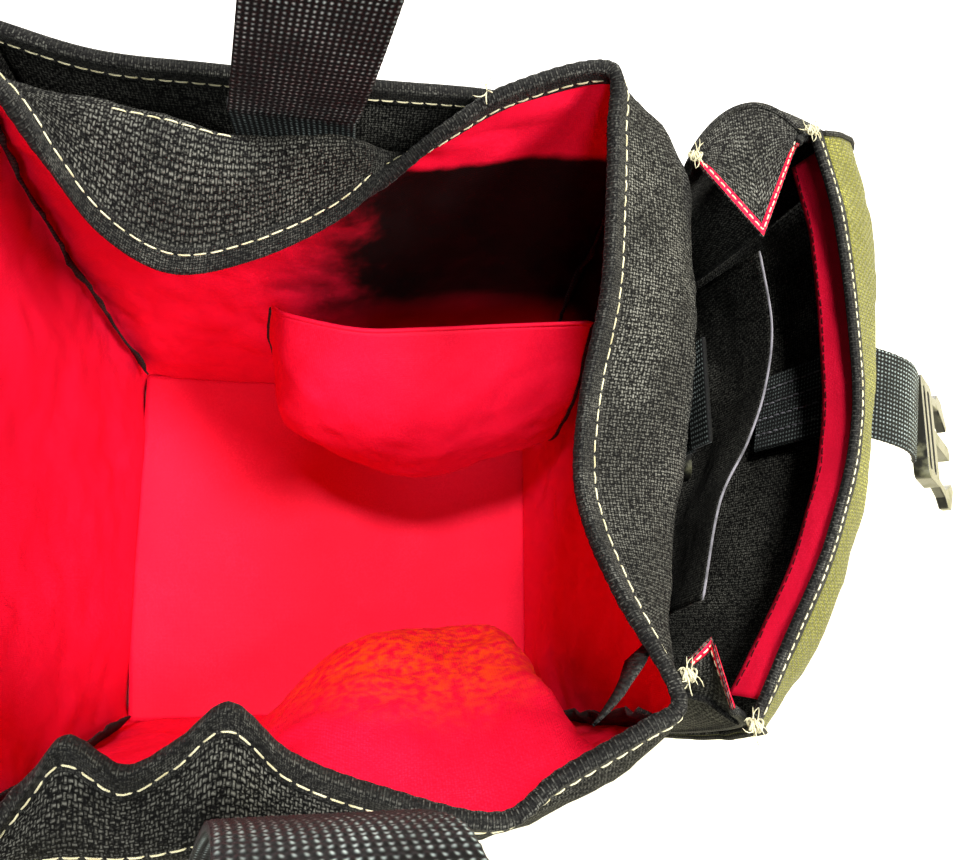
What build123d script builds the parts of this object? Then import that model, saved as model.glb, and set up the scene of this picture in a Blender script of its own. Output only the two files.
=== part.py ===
"""Open-topped soft gear bag: black woven outer, red lining, two webbing carry loops and an end pocket.

The bag stands on its base.  X runs along its length towards the end pocket, Y across it, Z up.
The origin is the middle of the base.  Sizes are millimetres.

Every cloth wall is a thin closed solid made from a grid of points.  A column of the grid climbs
from the base to the rim: base edge, two points on the belly of the wall, the shoulder where the
cloth starts to lean, the foot of the folded hem and the rim itself.
"""

from build123d import *
import os

os.makedirs("parts", exist_ok=True)

# Base and cloth
BASE_RIGHT = 108
BASE_FAR = 94
BASE_NEAR = -94
CLOTH = 1.0
LINING = 0.5
GUSSET = 1.0
FACING_GAP = 0.6
FACING_DROP = 14.0
FACING_INSET = 0.4
BOARD = 2.0
BOARD_CLEARANCE = 3.0
BELLY = 6.0
FOOT_GAP = 0.4

# Folded edges and seams
HEM_WIDTH = 7.0
HEM_PROUD = 0.8
HEM_GAP = 0.7
BINDING_WIDTH = 9.0
BINDING_THICKNESS = 0.6
BINDING_GAP = 1.6

# Webbing
WEBBING_WIDTH = 38.0
WEBBING = 2.0
LOOP_LEAN = 20.0

# Side-release buckle for the 38 mm webbing
BUCKLE_WIDTH = 48.0
BUCKLE_BAR_LENGTH = 19.0
BUCKLE_THICKNESS = 6.0
SLOT_WIDTH = 39.0
SLOT_LENGTH = 4.0
PRONG_LENGTH = 33.0
GUIDE_LENGTH = 27.0

# (base x, base y), shoulder point, rim point: one row for each column of the wall
FAR_COLUMNS = [
    ((-114, 94), (-119, 122, 225), (-118, 122, 246)),
    ((-96, 94), (-99, 114, 236), (-98, 105, 243)),
    ((-84, 94), (-86, 111, 236), (-88, 90, 231)),
    ((-70, 94), (-68, 110, 235), (-76, 76, 219)),
    ((-52, 94), (-50, 106, 234), (-57, 68, 212)),
    ((-30, 94), (-32, 104, 233), (-33, 74, 212)),
    ((0, 94), (-3, 108, 232), (-2, 91, 218)),
    ((15, 94), (13, 116, 214), (14, 107, 224)),
    ((32, 94), (28, 120, 214), (29, 119, 232)),
    ((56, 94), (50, 128, 220), (45, 127, 241)),
    ((108, 94), (98, 132, 224), (78, 133, 250)),
]
RIGHT_COLUMNS = [
    ((108, 82), (114, 118, 220), (79, 114, 246)),
    ((108, 62), (120, 92, 212), (79, 91, 242)),
    ((108, 34), (121, 66, 210), (78, 63, 236)),
    ((108, 10), (118, 32, 208), (72, 30, 229)),
    ((108, -14), (113, 5, 208), (70, 4, 227)),
    ((108, -36), (107, -14, 212), (73, -11, 228)),
    ((108, -62), (102, -36, 218), (80, -29, 232)),
    ((108, -94), (102, -68, 220), (94, -60, 240)),
]
NEAR_COLUMNS = [
    ((92, -94), (88, -78, 220), (84, -66, 240)),
    ((66, -94), (62, -92, 216), (60, -79, 236)),
    ((46, -94), (44, -99, 214), (46, -89, 234)),
    ((12, -94), (10, -97, 222), (11, -80, 235)),
    ((-10, -94), (-11, -95, 226), (-11, -70, 238)),
    ((-26, -94), (-27, -93, 228), (-26, -57, 244)),
    ((-38, -94), (-39, -94, 227), (-38, -66, 240)),
    ((-50, -94), (-51, -95, 226), (-50, -72, 238)),
    ((-63, -94), (-64, -95, 227), (-63, -64, 242)),
    ((-74, -94), (-76, -97, 225), (-71, -74, 238)),
    ((-90, -94), (-93, -101, 220), (-87, -94, 236)),
    ((-106, -94), (-114, -104, 218), (-112, -99, 238)),
]
LEFT_COLUMNS = [
    ((-110, -50), (-122, -56, 214), (-121, -56, 236)),
    ((-112, 0), (-126, 0, 212), (-125, 0, 234)),
    ((-113, 50), (-124, 60, 214), (-123, 60, 238)),
]

# End pocket front, far edge to near edge: foot, belly, fullest point and rim of each column
POCKET_COLUMNS = [
    ((113, 96, 9), (146, 112, 70), (180, 130, 140), (196, 146, 205), (163, 135, 228)),
    ((113, 84, 9), (150, 90, 70), (184, 98, 140), (200, 106, 205), (170, 108, 226)),
    ((113, 50, 9), (150, 54, 70), (183, 60, 140), (196, 64, 205), (174, 62, 223)),
    ((113, 20, 9), (149, 22, 70), (180, 25, 140), (190, 26, 205), (172, 28, 222)),
    ((113, -14, 9), (144, -14, 70), (170, -13, 140), (179, -12, 205), (156, -13, 224)),
    ((113, -50, 9), (136, -52, 70), (155, -50, 140), (160, -48, 205), (135, -46, 227)),
    ((113, -94, 9), (128, -92, 70), (138, -86, 140), (137, -74, 205), (122, -68, 228)),
]
# Gussets, foot to rim: the edge on the bag, the inward fold and the edge on the pocket front.  The
# top of the far one folds flat, from a ridge on its outer side in to its edge.
FAR_GUSSET = [
    ((111.5, 90, 14), (119, 92, 70), (121, 104, 140), (119, 117, 205), (116.5, 120, 225), (116, 117, 228)),
    ((112.3, 93, 14), (130, 104, 70), (148, 122, 140), (153, 132, 205), (138, 126, 225), (141, 92, 225)),
    (
        (112.8, 95, 14), (141.4, 110.5, 70), (175.5, 128.5, 140),
        (191.5, 143.5, 205), (160, 133.5, 225), (157, 130, 227),
    ),
]
NEAR_GUSSET = [
    ((111.2, -87.5, 20), (114, -87, 70), (113.5, -77, 140), (109.5, -60, 205), (102.5, -50, 227)),
    ((112.1, -89.8, 20), (118.5, -86, 70), (123, -79.5, 140), (119, -62, 205), (111.5, -43, 225)),
    ((112.9, -91.8, 20), (122.6, -89.5, 70), (132, -83, 140), (130.4, -70.5, 205), (117, -64, 225)),
]
DIVIDER_COLUMNS = [
    ((114.2, 86, 24), (134, 90, 70), (146, 100, 140), (143, 90, 219)),
    ((114.2, 60, 24), (138, 62, 70), (156, 65, 140), (154, 66, 205)),
    ((114.2, 40, 24), (138, 42, 70), (155, 44, 140), (152, 44, 200)),
    ((114.2, 18, 24), (136, 20, 70), (150, 22, 140), (143, 24, 201)),
    ((114.2, -8, 24), (131, -2, 70), (140, 0, 140), (129, 3, 205)),
    ((114.2, -60, 24), (121, -52, 70), (124, -42, 140), (115, -32, 214)),
]
OUTSIDE_POCKET_COLUMNS = [
    ((-108, 102, 20), (-110, 113, 80), (-112, 128, 150), (-112, 138, 222)),
    ((-80, 102, 20), (-81, 114, 80), (-82, 128, 150), (-81, 131, 222)),
    ((-46, 102, 20), (-46, 115, 80), (-47, 129, 150), (-47, 131, 222)),
    ((5, 102, 20), (5, 115, 80), (5, 130, 150), (5, 133, 221)),
    ((42, 102, 20), (42, 115, 80), (42, 130, 150), (42, 136, 219)),
    ((72, 103, 20), (73, 117, 80), (74, 130, 150), (72, 138, 214)),
]
INNER_POCKET_COLUMNS = [
    ((-34, 90, 48), (-35, 88, 62), (-36, 87, 84), (-36, 88, 108), (-34, 92, 128)),
    ((-26, 88, 34), (-28, 62, 52), (-29, 52, 84), (-28, 62, 118), (-26, 82, 146)),
    ((-4, 90, 24), (-4, 54, 44), (-4, 38, 82), (-2, 48, 120), (4, 76, 150)),
    ((30, 90, 22), (30, 48, 42), (30, 28, 80), (30, 42, 120), (30, 78, 150)),
    ((66, 90, 24), (66, 52, 44), (66, 36, 82), (66, 50, 122), (66, 82, 150)),
    ((102, 90, 30), (103, 64, 50), (104, 50, 84), (104, 64, 122), (104, 86, 150)),
]

# Carry loop, from the hinge line up the leg beside the mouth, over the top and down the outer leg
LOOP_PROFILE = [
    (-3, 4), (-5, 26), (-5, 52), (-3, 78), (3, 98), (13, 107), (23, 101),
    (28, 84), (28, 60), (23, 34), (12, 16), (3, 4),
]
LOOP_HEIGHT = 107
FAR_HINGE = (-20, 112.5, 237)
NEAR_HINGE = (-16, -101, 231)
NEAR_LOOP_TILT = 22.0

# Buckle strap: where it leaves the pocket front, its droop, and the buckle at its end
STRAP_ROOT = (198, 50, 190)
STRAP_YAW = -10.0
STRAP = 1.8
PATCH_CLEARANCE = 1.0
STRAP_PROFILE = [(0, 0), (14, -1), (27, -5), (36, -12), (41, -18)]
BUCKLE_PITCH = 38.0
BUCKLE_HINGE = (45, -21.5)

# Mating strap, hanging flat against the end wall inside the pocket
CLOSURE_HINGE = (124.5, 40, 196)


def climb(base, shoulder, rim):
    """The six points of one wall column, from the base edge to the rim."""
    foot = Vector(base[0], base[1], CLOTH + FOOT_GAP)
    top = Vector(*shoulder)
    edge = Vector(*rim)
    out = Vector(foot.X / abs(BASE_RIGHT), foot.Y / BASE_FAR, 0).normalized() * BELLY
    low = foot + (top - foot) * 0.33 + out
    mid = foot + (top - foot) * 0.68 + out
    hem = edge + (top - edge).normalized() * HEM_WIDTH
    return [foot, low, mid, top, hem, edge]


def grid_of(columns):
    """Turns columns of plain points into columns of vectors."""
    return [[Vector(*point) for point in column] for column in columns]


def unit(vector):
    """The vector at length one, or nothing where the grid ends."""
    return vector.normalized() if vector.length > 0 else Vector(0, 0, 0)


def normals_of(grid, closed=False):
    """The outward direction at each point of a grid, from its neighbours."""
    count = len(grid)
    height = len(grid[0])
    result = []
    for i in range(count):
        before = grid[i - 1] if closed or i > 0 else grid[i]
        after = grid[(i + 1) % count] if closed or i < count - 1 else grid[i]
        row = []
        for j in range(height):
            here = grid[i][j]
            along = unit(after[j] - here) + unit(here - before[j])
            up = grid[i][min(j + 1, height - 1)] - grid[i][max(j - 1, 0)]
            row.append(up.cross(along).normalized())
        result.append(row)
    return result


def offset_grid(grid, normals, distance):
    """The grid moved along its normals."""
    return [
        [point + normal * distance for point, normal in zip(column, directions)]
        for column, directions in zip(grid, normals)
    ]


def triangle(a, b, c):
    return Face(Wire.make_polygon([a, b, c], close=True))


def quad(a, b, c, d):
    return [triangle(a, b, c), triangle(a, c, d)]


def between(front, back):
    """The closed solid between two grids of the same shape."""
    columns = len(front)
    rows = len(front[0])
    faces = []
    for i in range(columns - 1):
        for j in range(rows - 1):
            faces += quad(front[i][j], front[i + 1][j], front[i + 1][j + 1], front[i][j + 1])
            faces += quad(back[i][j], back[i + 1][j], back[i + 1][j + 1], back[i][j + 1])
        for j in (0, rows - 1):
            faces += quad(front[i][j], front[i + 1][j], back[i + 1][j], back[i][j])
    for i in (0, columns - 1):
        for j in range(rows - 1):
            faces += quad(front[i][j], front[i][j + 1], back[i][j + 1], back[i][j])
    return Solid(Shell(faces)).fix()


def finish(piece, name):
    piece.part.label = name
    export_step(piece.part, f"parts/{name}.step")


def sewn(name, grid, normals, outer, inner):
    """Writes one cloth piece that lies between two distances from a grid."""
    with BuildPart() as cloth:
        add(between(offset_grid(grid, normals, outer), offset_grid(grid, normals, inner)))
    finish(cloth, name)


def rows(grid, first, last):
    return [column[first:last] for column in grid]


# Walls -------------------------------------------------------------------------------------------
ring = [climb(*column) for column in FAR_COLUMNS + RIGHT_COLUMNS + NEAR_COLUMNS + LEFT_COLUMNS]
ring_normals = normals_of(ring, closed=True)
ring.append(ring[0])
ring_normals.append(ring_normals[0])
far_end = len(FAR_COLUMNS)
right_end = far_end + len(RIGHT_COLUMNS)
near_end = right_end + len(NEAR_COLUMNS)
WALLS = {
    "far": (0, far_end),
    "right_end": (far_end - 1, right_end),
    "near": (right_end - 1, near_end),
    "left_end": (near_end - 1, len(ring)),
}
BELLY_MIDDLE = 42
BELLY_LEFT_REACH = 66
BELLY_RIGHT_REACH = 50
BELLY_PUSH = (0, 58, 34, 0, 0)
SHOULDER = 3
HEM_FOOT = 4


def hem_rows(wall):
    """The two rows of a folded hem: just clear of the wall below it, and the rim."""
    result = []
    for column in wall:
        foot, edge = column[HEM_FOOT:HEM_FOOT + 2]
        result.append([foot + (edge - foot).normalized() * HEM_GAP, edge])
    return result


def bellied(grid, amounts):
    """A lining that hangs loose and bellies into the bag around one place."""
    result = []
    for column in grid:
        off_middle = column[0].X - BELLY_MIDDLE
        reach = BELLY_RIGHT_REACH if off_middle > 0 else BELLY_LEFT_REACH
        share = max(0.0, 1 - (off_middle / reach) ** 4)
        push = [Vector(0, share * amount, 0) for amount in amounts]
        result.append([point + move for point, move in zip(column, push)])
    return result


for side, (first, last) in WALLS.items():
    wall = ring[first:last]
    directions = ring_normals[first:last]
    sewn(f"{side}_panel", rows(wall, 0, SHOULDER + 1), rows(directions, 0, SHOULDER + 1), 0, -CLOTH)
    sewn(f"{side}_top_band", rows(wall, SHOULDER, HEM_FOOT + 1),
         rows(directions, SHOULDER, HEM_FOOT + 1), 0, -CLOTH)
    sewn(f"{side}_rim_hem", hem_rows(wall),
         rows(directions, HEM_FOOT, HEM_FOOT + 2), HEM_PROUD, -CLOTH - LINING - HEM_PROUD)
    inside = offset_grid(rows(wall, 0, HEM_FOOT + 1), rows(directions, 0, HEM_FOOT + 1), -CLOTH)
    if side == "near":
        inside = bellied(inside, BELLY_PUSH)
    sewn(f"{side}_lining", inside, rows(directions, 0, HEM_FOOT + 1), 0, -LINING)

# Base --------------------------------------------------------------------------------------------
base_outline = [(column[0].X, column[0].Y) for column in ring[:-1]]
with BuildPart() as base_panel:
    with BuildSketch():
        with BuildLine():
            Polyline(*base_outline, close=True)
        make_face()
    extrude(amount=CLOTH)
finish(base_panel, "base_panel")

board_corners = [
    (-114 + 2 * BOARD_CLEARANCE, BASE_FAR - BOARD_CLEARANCE),
    (BASE_RIGHT - BOARD_CLEARANCE, BASE_FAR - BOARD_CLEARANCE),
    (BASE_RIGHT - BOARD_CLEARANCE, BASE_NEAR + BOARD_CLEARANCE),
    (-106 + 2 * BOARD_CLEARANCE, BASE_NEAR + BOARD_CLEARANCE),
]
for name, floor, thickness in (
    ("base_board", CLOTH, BOARD),
    ("base_lining", CLOTH + BOARD, LINING),
):
    with BuildPart() as layer:
        with BuildSketch(Plane.XY.offset(floor)) as outline:
            with BuildLine():
                Polyline(*board_corners, close=True)
            make_face()
            fillet(outline.vertices(), radius=5)
        extrude(amount=thickness)
    finish(layer, name)

# Bound corner seams inside the bag ---------------------------------------------------------------
for name, index in (
    ("far_left_seam_binding", 0),
    ("far_right_seam_binding", far_end - 1),
    ("near_right_seam_binding", right_end - 1),
    ("near_left_seam_binding", near_end - 1),
):
    inset = CLOTH + LINING + BINDING_GAP
    spine = [point - normal * inset for point, normal in
             zip(ring[index][:HEM_FOOT], ring_normals[index][:HEM_FOOT])]
    fin = [point - normal * BINDING_WIDTH for point, normal in
           zip(spine, ring_normals[index][:HEM_FOOT])]
    spine[0] = spine[0] + Vector(0, 0, BOARD + 2)
    fin[0] = fin[0] + Vector(0, 0, BOARD + 2)
    side_step = [Vector(-normal.Y, normal.X, 0).normalized() * (BINDING_THICKNESS / 2)
                 for normal in ring_normals[index][:HEM_FOOT]]
    left_face = [[p + s for p, s in zip(spine, side_step)], [p + s for p, s in zip(fin, side_step)]]
    right_face = [[p - s for p, s in zip(spine, side_step)], [p - s for p, s in zip(fin, side_step)]]
    with BuildPart() as binding:
        add(between(left_face, right_face))
    finish(binding, name)

# Inner pocket on the far lining, and outside pocket behind the far wall ---------------------------
inner_pocket = grid_of(INNER_POCKET_COLUMNS)
inner_normals = normals_of(inner_pocket)
sewn("inner_pocket_panel", rows(inner_pocket, 0, 4), rows(inner_normals, 0, 4), 0, -LINING)
sewn("inner_pocket_top", rows(inner_pocket, 3, 5), rows(inner_normals, 3, 5), 0, -LINING)

outside_pocket = grid_of(OUTSIDE_POCKET_COLUMNS)
outside_normals = normals_of(outside_pocket)
outside_rim = [[column[3] + Vector(0, 0, 1), column[3] + Vector(0, 0, 8)] for column in outside_pocket]
sewn("outside_pocket_panel", outside_pocket, outside_normals, 0, -CLOTH)
sewn("outside_pocket_hem", outside_rim, normals_of(outside_rim), 0.6, -CLOTH - 0.6)

# Carry loops ---------------------------------------------------------------------------------------


def carry_loop(name, hinge, outward, tilt):
    """A webbing loop on its hinge line; outward is +1 on the far side, -1 on the near, tilt is inward."""
    columns = []
    for edge in (-WEBBING_WIDTH / 2, WEBBING_WIDTH / 2):
        upright = [
            Vector(edge + LOOP_LEAN * height / LOOP_HEIGHT, outward * across, height)
            for across, height in LOOP_PROFILE
        ]
        columns.append([Vector(*hinge) + point.rotate(Axis.X, outward * tilt) for point in upright])
    directions = normals_of(columns)
    with BuildPart() as loop:
        add(between(offset_grid(columns, directions, WEBBING / 2),
                    offset_grid(columns, directions, -WEBBING / 2)))
    finish(loop, name)


def loop_end(name, hinge, outward, foot):
    """The two sewn ends of a loop, lying flat on the wall below its hinge line."""
    columns = []
    for edge in (-WEBBING_WIDTH / 2, WEBBING_WIDTH / 2):
        columns.append([
            Vector(hinge[0] + edge, hinge[1] + outward * foot[0], hinge[2] - foot[1]),
            Vector(hinge[0] + edge, hinge[1] + outward * foot[2], hinge[2] - foot[3]),
            Vector(hinge[0] + edge, hinge[1], hinge[2] + 1.5),
        ])
    directions = normals_of(columns)
    with BuildPart() as sewn_end:
        add(between(offset_grid(columns, directions, WEBBING),
                    offset_grid(columns, directions, -WEBBING)))
    finish(sewn_end, name)


carry_loop("far_handle", FAR_HINGE, 1, 0)
carry_loop("near_handle", NEAR_HINGE, -1, NEAR_LOOP_TILT)
loop_end("far_handle_end", FAR_HINGE, 1, (4.5, 52, 3.5, 20))
loop_end("near_handle_end", NEAR_HINGE, -1, (3, 50, 2, 20))

# End pocket ----------------------------------------------------------------------------------------
front = grid_of(POCKET_COLUMNS)
front_normals = normals_of(front)
front_hem_foot = [column[4] + (column[3] - column[4]).normalized() * HEM_WIDTH for column in front]
front_body = [column[:4] + [foot] for column, foot in zip(front, front_hem_foot)]
sewn("pocket_front_panel", front_body, front_normals, 0, -CLOTH)
sewn("pocket_front_lining", offset_grid(front_body, front_normals, -CLOTH), front_normals, 0, -LINING)

# A red facing hangs free from the inside of the hem, between the two gussets
inside = offset_grid(front_body, front_normals, -CLOTH - LINING - FACING_GAP)
facing_top = [column[4] for column in inside]
facing_top[0] = facing_top[0] + (facing_top[1] - facing_top[0]) * FACING_INSET
facing_top[-1] = facing_top[-1] + (facing_top[-2] - facing_top[-1]) * FACING_INSET
facing = [[edge - Vector(0, 0, FACING_DROP), edge] for edge in facing_top]
sewn("pocket_front_facing", facing, normals_of(facing), 0, -LINING)
front_hem = [[foot + (column[4] - foot).normalized() * HEM_GAP, column[4]]
             for column, foot in zip(front, front_hem_foot)]
sewn("pocket_front_hem", front_hem, rows(front_normals, 3, 5), HEM_PROUD, -CLOTH - LINING - HEM_PROUD)

for name, columns in (("far_gusset", FAR_GUSSET), ("near_gusset", NEAR_GUSSET)):
    gusset = grid_of(columns)
    sewn(name, gusset, normals_of(gusset), GUSSET / 2, -GUSSET / 2)

divider = grid_of(DIVIDER_COLUMNS)
sewn("pocket_divider", divider, normals_of(divider), 0.4, -0.4)

# Thread bartacks: two on the bag where the gussets start, two on the corners of the pocket front
BARTACK = (6.0, 4.0, 2.4)
for name, places in (
    ("bag_bartacks", ((115.5, 119, 230.4), (101, -54, 231.6))),
    ("pocket_bartacks", ((163, 136, 231.6), (121.5, -69, 231.6))),
):
    with BuildPart() as tacks:
        with Locations(*places):
            Box(*BARTACK)
    finish(tacks, name)

# Buckle strap and male buckle ------------------------------------------------------------------------
strap_plane = Plane(origin=STRAP_ROOT).rotated((0, 0, STRAP_YAW))


def strap_point(along, across, up):
    return strap_plane.from_local_coords(Vector(along, across, up))


strap_columns = [
    [strap_point(along, edge, up) for along, up in STRAP_PROFILE]
    for edge in (WEBBING_WIDTH / 2, -WEBBING_WIDTH / 2)
]
strap_normals = normals_of(strap_columns)
with BuildPart() as buckle_strap:
    add(between(offset_grid(strap_columns, strap_normals, STRAP / 2),
                offset_grid(strap_columns, strap_normals, -STRAP / 2)))
finish(buckle_strap, "buckle_strap")

# The sewn inner end of the strap, flat on the inside of the pocket front
patch_columns = []
for y, x_low, x_high in ((64, 184.2, 190.4), (31, 177.6, 185.0)):
    patch_columns.append([Vector(x_low, y, 150), Vector(x_high, y, 188)])
patch_normals = normals_of(patch_columns)
with BuildPart() as strap_backing:
    add(between(offset_grid(patch_columns, patch_normals, -PATCH_CLEARANCE),
                offset_grid(patch_columns, patch_normals, -PATCH_CLEARANCE - STRAP)))
finish(strap_backing, "strap_backing")

buckle_origin = strap_point(BUCKLE_HINGE[0], 0, BUCKLE_HINGE[1])
buckle_plane = Plane(origin=buckle_origin).rotated((0, BUCKLE_PITCH, STRAP_YAW))
HALF = BUCKLE_THICKNESS / 2
ROOT = BUCKLE_BAR_LENGTH

with BuildPart() as male_buckle:
    with BuildSketch(buckle_plane.offset(-HALF)) as frame_outline:
        with Locations((BUCKLE_BAR_LENGTH / 2, 0)):
            RectangleRounded(BUCKLE_BAR_LENGTH, BUCKLE_WIDTH, 3)
        for middle in (4.8, 12.2):
            with Locations((middle, 0)):
                SlotCenterToCenter(SLOT_WIDTH - SLOT_LENGTH, SLOT_LENGTH, rotation=90, mode=Mode.SUBTRACT)
        with Locations((ROOT + GUIDE_LENGTH / 2 - 1, 0)):
            RectangleRounded(GUIDE_LENGTH + 2, 7, 3)
    extrude(amount=BUCKLE_THICKNESS)
finish(male_buckle, "male_buckle")

PRONG_INSET = 5.0
PRONG_GAP = 1.0
for name, hand in (("far_prong", 1), ("near_prong", -1)):
    side_line = hand * (BUCKLE_WIDTH / 2 - PRONG_INSET)
    with BuildPart() as prong:
        with BuildSketch(buckle_plane.offset(1 - HALF)):
            with BuildLine():
                Polyline(
                    (ROOT + PRONG_GAP, side_line - hand * 2),
                    (ROOT + PRONG_GAP, side_line + hand * 2),
                    (ROOT + 13, side_line + hand * 5),
                    (ROOT + 18, side_line + hand * 9),
                    (ROOT + 25, side_line + hand * 8),
                    (ROOT + PRONG_LENGTH, side_line - hand * 3),
                    (ROOT + PRONG_LENGTH - 3, side_line - hand * 6),
                    (ROOT + 17, side_line + hand * 0.5),
                    close=True,
                )
            make_face()
        extrude(amount=BUCKLE_THICKNESS - 2)
    finish(prong, name)

# Mating strap and female buckle, hanging inside the pocket against the end wall -----------------------
HANG = 1.2
with BuildPart() as closure_strap:
    with Locations((CLOSURE_HINGE[0] + HANG, CLOSURE_HINGE[1], CLOSURE_HINGE[2] - 14)):
        Box(STRAP, WEBBING_WIDTH, 24)
finish(closure_strap, "closure_strap")

FEMALE_LENGTH = 42.0
FEMALE_THICKNESS = 11.0
female_top = CLOSURE_HINGE[2] - 27.0
with BuildPart() as female_buckle:
    with Locations((CLOSURE_HINGE[0] + 6.5, CLOSURE_HINGE[1], female_top - FEMALE_LENGTH / 2)):
        Box(FEMALE_THICKNESS, BUCKLE_WIDTH + 2, FEMALE_LENGTH)
    fillet(female_buckle.edges().filter_by(Axis.X), radius=5)
    mouth_plane = Plane.XY.offset(female_top - FEMALE_LENGTH)
    with BuildSketch(mouth_plane) as mouth:
        with Locations((CLOSURE_HINGE[0] + 6.5, CLOSURE_HINGE[1])):
            Rectangle(BUCKLE_THICKNESS + 1, BUCKLE_WIDTH - 6)
    extrude(amount=30, mode=Mode.SUBTRACT)
finish(female_buckle, "female_buckle")

with BuildPart() as closure_strap_end:
    with Locations((CLOSURE_HINGE[0] - 1.2, CLOSURE_HINGE[1], CLOSURE_HINGE[2] + 8)):
        Box(STRAP, WEBBING_WIDTH, 14)
finish(closure_strap_end, "closure_strap_end")
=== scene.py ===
"""Looks of the open-topped gear bag: woven cloth walls, red lining, webbing loops and end pocket.

Control tables are in millimetres in the part's own frame, the same design values as the part's.
Every soft piece is a smooth shell through those points, with its hems, stitches and wrinkles.
"""

import math

import bmesh
import bpy
import numpy as np
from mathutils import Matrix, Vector, noise


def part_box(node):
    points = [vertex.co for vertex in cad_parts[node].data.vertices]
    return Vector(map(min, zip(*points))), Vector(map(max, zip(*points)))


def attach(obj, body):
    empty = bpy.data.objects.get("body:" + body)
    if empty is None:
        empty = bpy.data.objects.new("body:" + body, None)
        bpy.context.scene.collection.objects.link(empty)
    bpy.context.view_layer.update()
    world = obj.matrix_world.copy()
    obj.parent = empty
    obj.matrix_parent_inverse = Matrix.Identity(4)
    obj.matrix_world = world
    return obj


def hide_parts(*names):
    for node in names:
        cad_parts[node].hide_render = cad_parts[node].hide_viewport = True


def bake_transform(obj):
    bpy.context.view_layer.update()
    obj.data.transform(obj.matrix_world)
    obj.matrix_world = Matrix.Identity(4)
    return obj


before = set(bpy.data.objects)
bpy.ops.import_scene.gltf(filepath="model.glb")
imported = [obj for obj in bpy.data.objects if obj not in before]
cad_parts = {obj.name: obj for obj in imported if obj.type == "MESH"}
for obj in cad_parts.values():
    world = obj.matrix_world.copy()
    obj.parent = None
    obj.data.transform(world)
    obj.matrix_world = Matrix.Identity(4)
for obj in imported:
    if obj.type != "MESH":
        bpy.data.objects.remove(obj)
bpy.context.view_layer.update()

MM = 0.001
UV_NAME = "Weave"
PI = math.pi

# Cloth and hems, millimetres
CLOTH = 1.0
LINING = 0.5
LINING_GAP = 0.15
BELLY = 6.0
BASE_REACH = (108, 94)
HEM_WIDTH = 7.0
STITCH_PITCH = 5.0
STITCH_LENGTH = 4.0
THREAD = 0.27
WEBBING_WIDTH = 38.0
WEBBING_PITCH = 1.8
ROW_SHARE = 0.95
LOOP_THICKNESS = 2.0
SEWN_THICKNESS = 4.0
STRAP_THICKNESS = 1.8
FACING_DROP = 14.0
FACING_GAP = 0.6
FACING_INSET = 0.2
FACING_LEAN = 3.2

# (base x, base y), shoulder point, rim point: one row for each column of the wall
FAR_COLUMNS = [
    ((-114, 94), (-119, 122, 225), (-118, 122, 246)),
    ((-96, 94), (-99, 114, 236), (-98, 105, 243)),
    ((-84, 94), (-86, 111, 236), (-88, 90, 231)),
    ((-70, 94), (-68, 110, 235), (-76, 76, 219)),
    ((-52, 94), (-50, 106, 234), (-57, 68, 212)),
    ((-30, 94), (-32, 104, 233), (-33, 74, 212)),
    ((0, 94), (-3, 108, 232), (-2, 91, 218)),
    ((15, 94), (13, 116, 214), (14, 107, 224)),
    ((32, 94), (28, 120, 214), (29, 119, 232)),
    ((56, 94), (50, 128, 220), (45, 127, 241)),
    ((108, 94), (98, 132, 224), (78, 133, 250)),
]
RIGHT_COLUMNS = [
    ((108, 82), (114, 118, 220), (79, 114, 246)),
    ((108, 62), (120, 92, 212), (79, 91, 242)),
    ((108, 34), (121, 66, 210), (78, 63, 236)),
    ((108, 10), (118, 32, 208), (72, 30, 229)),
    ((108, -14), (113, 5, 208), (70, 4, 227)),
    ((108, -36), (107, -14, 212), (73, -11, 228)),
    ((108, -62), (102, -36, 218), (80, -29, 232)),
    ((108, -94), (102, -68, 220), (94, -60, 240)),
]
NEAR_COLUMNS = [
    ((92, -94), (88, -78, 220), (84, -66, 240)),
    ((66, -94), (62, -92, 216), (60, -79, 236)),
    ((46, -94), (44, -99, 214), (46, -89, 234)),
    ((12, -94), (10, -97, 222), (11, -80, 235)),
    ((-10, -94), (-11, -95, 226), (-11, -70, 238)),
    ((-26, -94), (-27, -93, 228), (-26, -57, 244)),
    ((-38, -94), (-39, -94, 227), (-38, -66, 240)),
    ((-50, -94), (-51, -95, 226), (-50, -72, 238)),
    ((-63, -94), (-64, -95, 227), (-63, -64, 242)),
    ((-74, -94), (-76, -97, 225), (-71, -74, 238)),
    ((-90, -94), (-93, -101, 220), (-87, -94, 236)),
    ((-106, -94), (-114, -104, 218), (-112, -99, 238)),
]
LEFT_COLUMNS = [
    ((-110, -50), (-122, -56, 214), (-121, -56, 236)),
    ((-112, 0), (-126, 0, 212), (-125, 0, 234)),
    ((-113, 50), (-124, 60, 214), (-123, 60, 238)),
]
POCKET_COLUMNS = [
    ((113, 96, 9), (146, 112, 70), (180, 130, 140), (196, 146, 205), (163, 135, 228)),
    ((113, 84, 9), (150, 90, 70), (184, 98, 140), (200, 106, 205), (170, 108, 226)),
    ((113, 50, 9), (150, 54, 70), (183, 60, 140), (196, 64, 205), (174, 62, 223)),
    ((113, 20, 9), (149, 22, 70), (180, 25, 140), (190, 26, 205), (172, 28, 222)),
    ((113, -14, 9), (144, -14, 70), (170, -13, 140), (179, -12, 205), (156, -13, 224)),
    ((113, -50, 9), (136, -52, 70), (155, -50, 140), (160, -48, 205), (135, -46, 227)),
    ((113, -94, 9), (128, -92, 70), (138, -86, 140), (137, -74, 205), (122, -68, 228)),
]
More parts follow.
